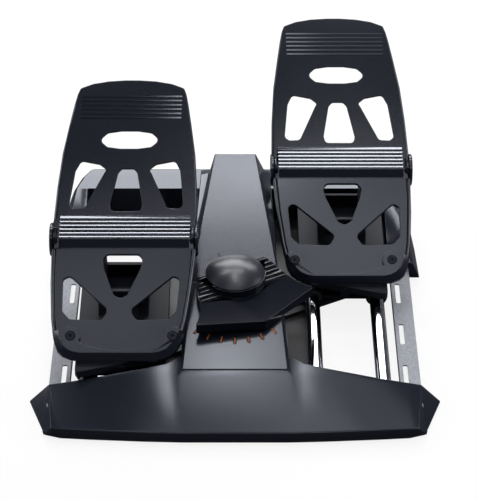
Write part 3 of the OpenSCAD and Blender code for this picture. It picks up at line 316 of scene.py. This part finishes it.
# %% Group for drawn metal
def drawn_streaks_group():
    tree, given, made = new_group("drawn_streaks", [
        ("Vector", "NodeSocketVector", None),
        ("Streak size", "NodeSocketVector", (600.0, 12.0, 600.0)),
        ("Low roughness", "NodeSocketFloat", 0.1),
        ("High roughness", "NodeSocketFloat", 0.25),
    ], [("Roughness", "NodeSocketFloat"), ("Height", "NodeSocketFloat")])
    stretched = add_node(tree, "ShaderNodeVectorMath", {0: given["Vector"], 1: given["Streak size"]},
                         operation="MULTIPLY").outputs[0]
    streaks = add_node(tree, "ShaderNodeTexNoise", {"Vector": stretched, "Scale": 1.0, "Detail": 5.0}).outputs[0]
    handled = add_node(tree, "ShaderNodeTexNoise", {
        "Vector": given["Vector"], "Scale": 30.0, "Detail": 3.0}).outputs[0]
    both = calculate(tree, "MULTIPLY", streaks, handled)
    roughness = spread(tree, both, 0.1, 0.45, given["Low roughness"], given["High roughness"])
    tree.links.new(roughness, made["Roughness"])
    tree.links.new(streaks, made["Height"])
    return tree


drawn_streaks = drawn_streaks_group()
print("group", drawn_streaks.name)


# %% [markdown]
# ## Finishes
#
# The covers and foot plates are one charcoal plastic with a faint blue cast, almost black where no lamp is mirrored
# and grey where one is. So the colours below are close to black, and the tinted gloss does the rest. The spine is a
# little paler with less grain, the ribs of the treads are worn smoother, and the rocker is glossier and blacker. The
# carriages and heel screws are dull, because a glossy black would mirror the wall behind through the cut-outs.

# %% Plastics
grain_size = 1000.0
grain_height = 0.00002
unevenness = 0.06
blue_cast = (0.86, 0.9, 1.0, 1)
no_cast = (1, 1, 1, 1)


def plastic(name, dark, pale, roughness, depth=0.6, level=0.5, tint=no_cast):
    """A moulded plastic: the shared grain feeds colour, roughness and bump."""
    material, tree = new_material(name)
    place = add_node(tree, "ShaderNodeTexCoord")
    surface = add_node(tree, "ShaderNodeGroup", node_tree=moulded_grain)
    tree.links.new(place.outputs["Object"], surface.inputs["Vector"])
    for key, value in (("Grain size", grain_size), ("Grain depth", depth), ("Colour", (*dark, 1)),
                       ("Pale colour", (*pale, 1)), ("Roughness", roughness), ("Unevenness", unevenness)):
        surface.inputs[key].default_value = value
    bumps = add_node(tree, "ShaderNodeBump", {
        "Strength": 0.5, "Distance": grain_height, "Height": surface.outputs["Height"]})
    shader = add_node(tree, "ShaderNodeBsdfPrincipled", {
        "Base Color": surface.outputs["Colour"], "Roughness": surface.outputs["Roughness"],
        "Normal": bumps.outputs[0], "Specular IOR Level": level, "Specular Tint": tint})
    finish_material(tree, shader.outputs[0])
    return material


charcoal, charcoal_speck = (0.006, 0.0075, 0.014), (0.01, 0.012, 0.02)
finishes = {
    "shell_plastic": plastic("charcoal_plastic", charcoal, charcoal_speck, 0.19, tint=blue_cast),
    "worn_plastic": plastic("worn_charcoal_plastic", charcoal, charcoal_speck, 0.1, tint=blue_cast),
    "spine_plastic": plastic("spine_plastic", (0.008, 0.0095, 0.016), (0.012, 0.014, 0.022), 0.2, depth=0.4,
                             tint=blue_cast),
    "matt_plastic": plastic("matt_black_plastic", (0.01, 0.012, 0.018), (0.016, 0.018, 0.026), 0.5, depth=1.2,
                            level=0.12),
    "black_plastic": plastic("gloss_black_plastic", (0.005, 0.006, 0.011), (0.007, 0.008, 0.014), 0.08, depth=0.1,
                             level=0.2),
    "cap_plastic": plastic("dome_plastic", (0.012, 0.013, 0.02), (0.016, 0.018, 0.027), 0.3, depth=0.3),
    "bushing_plastic": plastic("bushing_plastic", (0.03, 0.03, 0.033), (0.045, 0.045, 0.05), 0.5),
    "rubber": plastic("foot_rubber", (0.012, 0.012, 0.012), (0.02, 0.02, 0.02), 0.8, depth=1.5, level=0.3),
    "orange_print": plastic("orange_ink", (0.62, 0.15, 0.02), (0.75, 0.24, 0.06), 0.5, depth=0.3),
    "circuit": plastic("green_board", (0.01, 0.09, 0.03), (0.02, 0.13, 0.05), 0.35, depth=0.3),
}
print(len(finishes), "plastics")


# %% [markdown]
# The rails are chromed tube: very smooth, with faint streaks along their length where the tube was drawn. Screws,
# pins and springs are zinc plated and duller. The side plates are steel under a light grey powder coat whose fine
# speckle shows even from a step away, and the base plate has the same coat in black. Powder coat isn't a metal to
# the eye, so it gets a shader of its own.

# %% Metals and powder coats
streak_height = 0.00001
ripple_height = 0.00004


def metal(name, colour, low, high, streaks):
    """A bare metal, its roughness between low and high along streaks."""
    material, tree = new_material(name)
    place = add_node(tree, "ShaderNodeTexCoord")
    surface = add_node(tree, "ShaderNodeGroup", node_tree=drawn_streaks)
    tree.links.new(place.outputs["Object"], surface.inputs["Vector"])
    for key, value in (("Streak size", streaks), ("Low roughness", low), ("High roughness", high)):
        surface.inputs[key].default_value = value
    bumps = add_node(tree, "ShaderNodeBump", {
        "Strength": 0.3, "Distance": streak_height, "Height": surface.outputs["Height"]})
    shader = add_node(tree, "ShaderNodeBsdfPrincipled", {
        "Base Color": (*colour, 1), "Metallic": 1.0, "Roughness": surface.outputs["Roughness"],
        "Normal": bumps.outputs[0]})
    finish_material(tree, shader.outputs[0])
    return material


def powder_coat(name, base, speck, size, roughness=0.5):
    """Powder coat: a rippled skin with lighter and darker specks in it."""
    material, tree = new_material(name)
    at = {"Vector": add_node(tree, "ShaderNodeTexCoord").outputs["Object"]}
    specks = add_node(tree, "ShaderNodeTexNoise", {**at, "Scale": size, "Detail": 2.0}).outputs[0]
    colour = blend_colours(tree, spread(tree, specks, 0.36, 0.66), (*base, 1), (*speck, 1))
    ripple = add_node(tree, "ShaderNodeTexVoronoi", {**at, "Scale": size * 0.6}).outputs["Distance"]
    bumps = add_node(tree, "ShaderNodeBump", {"Strength": 0.4, "Distance": ripple_height, "Height": ripple})
    gloss = spread(tree, specks, 0.0, 1.0, roughness - 0.08, roughness + 0.08)
    shader = add_node(tree, "ShaderNodeBsdfPrincipled", {
        "Base Color": colour, "Roughness": gloss, "Normal": bumps.outputs[0], "Specular IOR Level": 0.4})
    finish_material(tree, shader.outputs[0])
    return material


finishes["rail_chrome"] = metal("rail_chrome", (0.6, 0.61, 0.64), 0.05, 0.12, (900.0, 14.0, 900.0))
finishes["bright_steel"] = metal("zinc_steel", (0.6, 0.61, 0.63), 0.22, 0.4, (300.0, 300.0, 40.0))
finishes["side_steel"] = powder_coat("side_plate_coat", (0.17, 0.18, 0.21), (0.28, 0.29, 0.32), 900.0)
finishes["base_steel"] = powder_coat("base_plate_coat", (0.012, 0.012, 0.014), (0.03, 0.03, 0.034), 700.0)
print(len(finishes), "finishes")


# %% [markdown]
# Every CAD node gets the finish of its slot in the record. Pieces modelled below take finishes from the same table,
# so a change of a finish reaches both. A few parts differ in the photograph from the others of their slot: the
# carriages and heel screws are duller, and the heel stops look like the shells. A short table names their finish.

# %% Dress the CAD nodes
other_finish = {
    "carriage_left": "matt_plastic", "carriage_right": "matt_plastic",
    "heel_stop_left": "shell_plastic", "heel_stop_right": "shell_plastic",
    "heel_screws_left": "matt_plastic", "heel_screws_right": "matt_plastic",
}


def finish_of(name):
    return finishes[other_finish.get(name, slot_of_node[name])]


def dress(piece, finish):
    piece.data.materials.clear()
    piece.data.materials.append(finish)


for name, node in nodes.items():
    dress(node, finish_of(name))
print("dressed", len(nodes), "nodes")


# %% [markdown]
# ## Soft edges
#
# Real moulded edges are never sharp: a radius of half a millimetre catches the lamp and draws the thin light lines
# that outline every cut-out in the photograph. The parts could be modelled again with these edges, but a copy of the
# CAD node keeps the measured shape. A CAD node is loose triangles, so the copy's doubles are merged and its flat
# faces joined before a Bevel modifier can find the edges.

# %% Copies of CAD nodes
merge_distance = 0.000002
flat_angle = math.radians(0.8)


def only(piece):
    """Selects one object and makes it active."""
    bpy.ops.object.select_all(action="DESELECT")
    piece.select_set(True)
    bpy.context.view_layer.objects.active = piece


def apply_all(piece):
    """Applies every modifier of a piece."""
    only(piece)
    for modifier in list(piece.modifiers):
        bpy.ops.object.modifier_apply(modifier=modifier.name)


def copy_of(node_name, piece_name):
    """A merged, free copy of a CAD node, with flat faces joined."""
    piece = nodes[node_name].copy()
    piece.data = nodes[node_name].data.copy()
    piece.name = piece_name
    for key in list(piece.keys()):
        del piece[key]
    piece.parent = None
    scene.collection.objects.link(piece)
    only(piece)
    bpy.ops.object.mode_set(mode="EDIT")
    bpy.ops.mesh.select_all(action="SELECT")
    bpy.ops.mesh.remove_doubles(threshold=merge_distance)
    bpy.ops.mesh.dissolve_limited(angle_limit=flat_angle)
    bpy.ops.object.mode_set(mode="OBJECT")
    return piece


print("doubles nearer than", merge_distance * 1000, "mm are merged")


# %% [markdown]
# A Bevel modifier without clamping makes even rims, but where many edges meet at one corner it can throw that corner
# far off. Clamping would stop that by making all bevels of the piece thin. Here the surface from before the bevel is
# kept in a search tree, and a corner that lies further off it than the bevel is wide goes back onto it.

# %% Bevels
def surface_of(piece):
    """A tree that finds the nearest point on a piece as it is now."""
    mesh = bmesh.new()
    mesh.from_mesh(piece.data)
    surface = BVHTree.FromBMesh(mesh)
    mesh.free()
    return surface


def add_bevel(piece, width, segments, limit=None):
    """A bevel on the edges sharper than a limit, or on the marked edges where no limit is given."""
    surface = surface_of(piece)
    bevel = piece.modifiers.new("soft_edges", "BEVEL")
    bevel.width = width
    bevel.segments = segments
    bevel.limit_method = "ANGLE" if limit else "WEIGHT"
    if limit:
        bevel.angle_limit = math.radians(limit)
    bevel.use_clamp_overlap = False
    bevel.miter_outer = "MITER_ARC"
    apply_all(piece)
    thrown = 0
    for vertex in piece.data.vertices:
        nearest, _, _, distance = surface.find_nearest(vertex.co)
        if distance > width:
            vertex.co = nearest
            thrown += 1
    print(piece.name, thrown, "thrown corners put back")


def keep_inside(piece, node):
    """Pulls back what a bevel threw past the CAD node's own box."""
    corners = [Vector(corner) for corner in node.bound_box]
    low = [min(corner[i] for corner in corners) for i in range(3)]
    high = [max(corner[i] for corner in corners) for i in range(3)]
    for vertex in piece.data.vertices:
        for i in range(3):
            vertex.co[i] = min(max(vertex.co[i], low[i]), high[i])


def level_normals(piece):
    """Lets the large faces set the normals, so that flat panels shade flat and only the bevels bend the light."""
    weighted = piece.modifiers.new("flat_panels", "WEIGHTED_NORMAL")
    weighted.mode = "FACE_AREA"
    weighted.weight = 100
    weighted.keep_sharp = True
    apply_all(piece)


# %% [markdown]
# The outer rim of a foot plate is softer than its cut-outs, for it is rolled over along the sides, and the heel
# stop's front edge has a wide chamfer. One bevel width for the whole piece can't do that, so these edges are found
# first, as the ones between a flat top and a tall wall, and marked with a bevel weight.

# %% Marked edges
sharp_angle = 50
steepness = 0.6
tall_wall = 0.005


def weigh_outline(piece, chosen):
    """Marks chosen sharp edges between a top face and a tall wall, for a bevel of their own."""
    mesh = bmesh.new()
    mesh.from_mesh(piece.data)
    weight = mesh.edges.layers.float.get("bevel_weight_edge") or mesh.edges.layers.float.new("bevel_weight_edge")
    marked = 0
    for edge in mesh.edges:
        edge[weight] = 0
        middle = (edge.verts[0].co + edge.verts[1].co) / 2
        if len(edge.link_faces) != 2 or math.degrees(edge.calc_face_angle(0)) < sharp_angle or not chosen(middle):
            continue
        top, wall = sorted(edge.link_faces, key=lambda face: -face.normal.z)
        heights = [vert.co.dot(top.normal) for vert in wall.verts]
        is_tall = max(heights) - min(heights) > tall_wall
        if top.normal.z > steepness and abs(wall.normal.z) < steepness and is_tall:
            edge[weight] = 1
            marked += 1
    mesh.to_mesh(piece.data)
    mesh.free()
    print(piece.name, marked, "edges marked")


# %% [markdown]
# A foot plate's upper half slopes up from the elbow where the pedal turns. Its rims and ribs are easiest to place in
# its own directions: up along the plate, and out of it. The left pedal stands forward of the middle and the right
# one behind it by half of their travel, as in the photograph.

# %% The upper half of a foot plate
pedal_x, elbow_y, elbow_z = 0.1058, 0.062, 0.097
half_travel = 0.057
upper_slope = math.radians(42.5)
rib_heights = (0.0009, 0.002)
ribs_begin = 0.006
ribs_reach = 0.0632
flush_merge = 0.00002


def upper_plate(side):
    """The upper half's elbow, the way up along it, and its normal. side is -1 for left and 1 for right."""
    return {"side": side, "elbow": Vector((side * pedal_x, elbow_y + side * half_travel, elbow_z)),
            "along": Vector((0, math.cos(upper_slope), math.sin(upper_slope))),
            "normal": Vector((0, -math.sin(upper_slope), math.cos(upper_slope)))}


def flatten_ribs(piece, plate):
    """Presses the CAD model's square tread ribs flush with the foot plate, to make room for the worn ones."""
    lowered = 0
    for vertex in piece.data.vertices:
        off = vertex.co - plate["elbow"]
        height, up = off.dot(plate["normal"]), off.dot(plate["along"])
        if rib_heights[0] < height < rib_heights[1] and up > ribs_begin and abs(off.x) < ribs_reach:
            vertex.co -= plate["normal"] * height
            lowered += 1
    only(piece)
    bpy.ops.object.mode_set(mode="EDIT")
    bpy.ops.mesh.select_all(action="SELECT")
    bpy.ops.mesh.remove_doubles(threshold=flush_merge)
    bpy.ops.mesh.dissolve_degenerate(threshold=flush_merge)
    bpy.ops.mesh.dissolve_limited(angle_limit=flat_angle)
    bpy.ops.object.mode_set(mode="OBJECT")
    print(piece.name, lowered, "rib corners pressed flush")


plates = {"left": upper_plate(-1), "right": upper_plate(1)}
print({word: tuple(round(v, 4) for v in plate["elbow"]) for word, plate in plates.items()})


# %% [markdown]
# The wide edges come before the fine ones, because a wide bevel that meets a finished rim would break it up. The
# sides of a foot plate get a round of three steps, and the heel stop one wide chamfer across its front. The toe end
# keeps a fine edge, as the cut-outs do.

# %% Wide edges
toe_end = 0.155
side_round, side_steps = 0.0024, 3
heel_front, heel_chamfer = -0.075, 0.006


def soften_pedal(piece, plate):
    """Flattens the ribs and rounds the sides."""
    flatten_ribs(piece, plate)
    weigh_outline(piece, lambda at: (at - plate["elbow"]).dot(plate["along"]) < toe_end)
    add_bevel(piece, side_round, side_steps)


def soften_heel_stop(piece, plate):
    """Chamfers the front edge."""
    weigh_outline(piece, lambda at: (at - plate["elbow"]).y < heel_front)
    add_bevel(piece, heel_chamfer, 1)


# %% [markdown]
# Each moulded part is now copied, softened and given the finish and body of its CAD node, which it replaces.
# Large covers have rounder edges than the rocker and the small parts. Smooth shading below 35 degrees keeps the
# facets of the covers, and weighted normals keep them flat.

# %% Rounded pieces
edge_steps = 2
sharper_than = 30
smooth_below = 35
edge_radius = {
    "front_cover": 0.0009, "spine_cover": 0.0009, "rear_housing": 0.0008,
    "rotor_shell": 0.0005, "carriage_left": 0.0006, "carriage_right": 0.0006,
    "pedal_left": 0.0007, "pedal_right": 0.0007, "heel_stop_left": 0.0006, "heel_stop_right": 0.0006,
}


def round_edges(node_name, radius):
    """Replaces a CAD node by its copy with rounded edges."""
    piece = copy_of(node_name, node_name + "_rounded")
    kind, _, word = node_name.rpartition("_")
    if kind == "pedal":
        soften_pedal(piece, plates[word])
    if kind == "heel_stop":
        soften_heel_stop(piece, plates[word])
    add_bevel(piece, radius, edge_steps, sharper_than)
    keep_inside(piece, nodes[node_name])
    bpy.ops.object.shade_smooth_by_angle(angle=math.radians(smooth_below))
    level_normals(piece)
    dress(piece, finish_of(node_name))
    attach(piece, body_of_node[node_name])
    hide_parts(node_name)
    return piece


for name, radius in edge_radius.items():
    piece = round_edges(name, radius)
    print(piece.name, len(piece.data.polygons), "faces")


# %% [markdown]
# ## Treads
#
# The ribs that a shoe grips are saw teeth: each top falls from a raised front edge towards the back, so it mirrors
# the bright strip behind and draws a light line, while its front face stays dark. A wide band along the elbow rises
# the other way and stays dark, and a second set of low ribs lies at the toes. Each rib could be modelled in its
# place. It is simpler to shape one bar level at the origin, where its rear top edge is moved in edit mode, to repeat
# it with an Array modifier, and to lay the finished row on the foot plate. The bars are sunk a little into the plate,
# so that no gap shows. The plate leans inwards on its way up, and the rows lean with it.

# %% Rows of ribs
lean = 0.044
sunk = 0.0003
worn_edge = 0.00005


def add_rib_row(plate, first, half, width, front, rear=worn_edge, count=1, pitch=0.0):
    """A row of like ribs that starts this far up from the elbow. front and rear are a rib's heights at its edges."""
    bpy.ops.object.select_all(action="DESELECT")
    bpy.ops.mesh.primitive_cube_add(size=1, location=(0, 0, (front - sunk) / 2))
    row = bpy.context.object
    row.scale = (2 * half, width, front + sunk)
    bpy.ops.object.transform_apply(location=True, rotation=True, scale=True)
    bpy.ops.object.mode_set(mode="EDIT")
    bpy.ops.mesh.select_all(action="DESELECT")
    bpy.ops.object.mode_set(mode="OBJECT")
    for vertex in row.data.vertices:
        vertex.select = vertex.co.y > 0 and vertex.co.z > -sunk / 2
    bpy.ops.object.mode_set(mode="EDIT")
    bpy.ops.transform.translate(value=(0, 0, rear - front))
    bpy.ops.object.mode_set(mode="OBJECT")
    inwards = -plate["side"] * lean
    repeat = row.modifiers.new("repeat", "ARRAY")
    repeat.count = count
    repeat.use_relative_offset = False
    repeat.use_constant_offset = True
    repeat.constant_offset_displace = (inwards * pitch, pitch, 0)
    apply_all(row)
    row.rotation_euler = (upper_slope, 0, 0)
    row.location = plate["elbow"] + plate["along"] * first + Vector((inwards * first, 0, 0))
    bpy.ops.object.transform_apply(location=True, rotation=True, scale=True)
    return row


# %% [markdown]
# The rows of a foot plate are joined and ride with its pedal. The left plate stands nearer to the camera than the
# right one, so its ribs rise a little more to mirror the same strip. A tiny chamfer takes the razor edge off.

# %% Treads
elbow_half, toe_half = 0.062, 0.0485
razor_chamfer = 0.00015


def add_treads(name, body, plate, rise):
    """All ribs of one foot plate, as one piece: the dark band, six ribs above it, and six low ones at the toes."""
    rows = [
        add_rib_row(plate, first=0.0052, half=elbow_half, width=0.0085, front=worn_edge, rear=0.0016),
        add_rib_row(plate, first=0.01245, half=elbow_half, width=0.0026, front=rise, count=6, pitch=0.00365),
        add_rib_row(plate, first=0.1279, half=toe_half, width=0.0018, front=0.0006, count=6, pitch=0.0042),
    ]
    only(rows[0])
    for row in rows:
        row.select_set(True)
    bpy.ops.object.join()
    treads = bpy.context.object
    treads.name = name
    add_bevel(treads, razor_chamfer, 1, sharper_than)
    dress(treads, finishes["worn_plastic"])
    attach(treads, body)
    return treads


for word, rise in (("left", 0.00166), ("right", 0.00146)):
    treads = add_treads("treads_" + word, body_of_node["pedal_" + word], plates[word], rise)
    print(treads.name, len(treads.data.polygons), "faces")
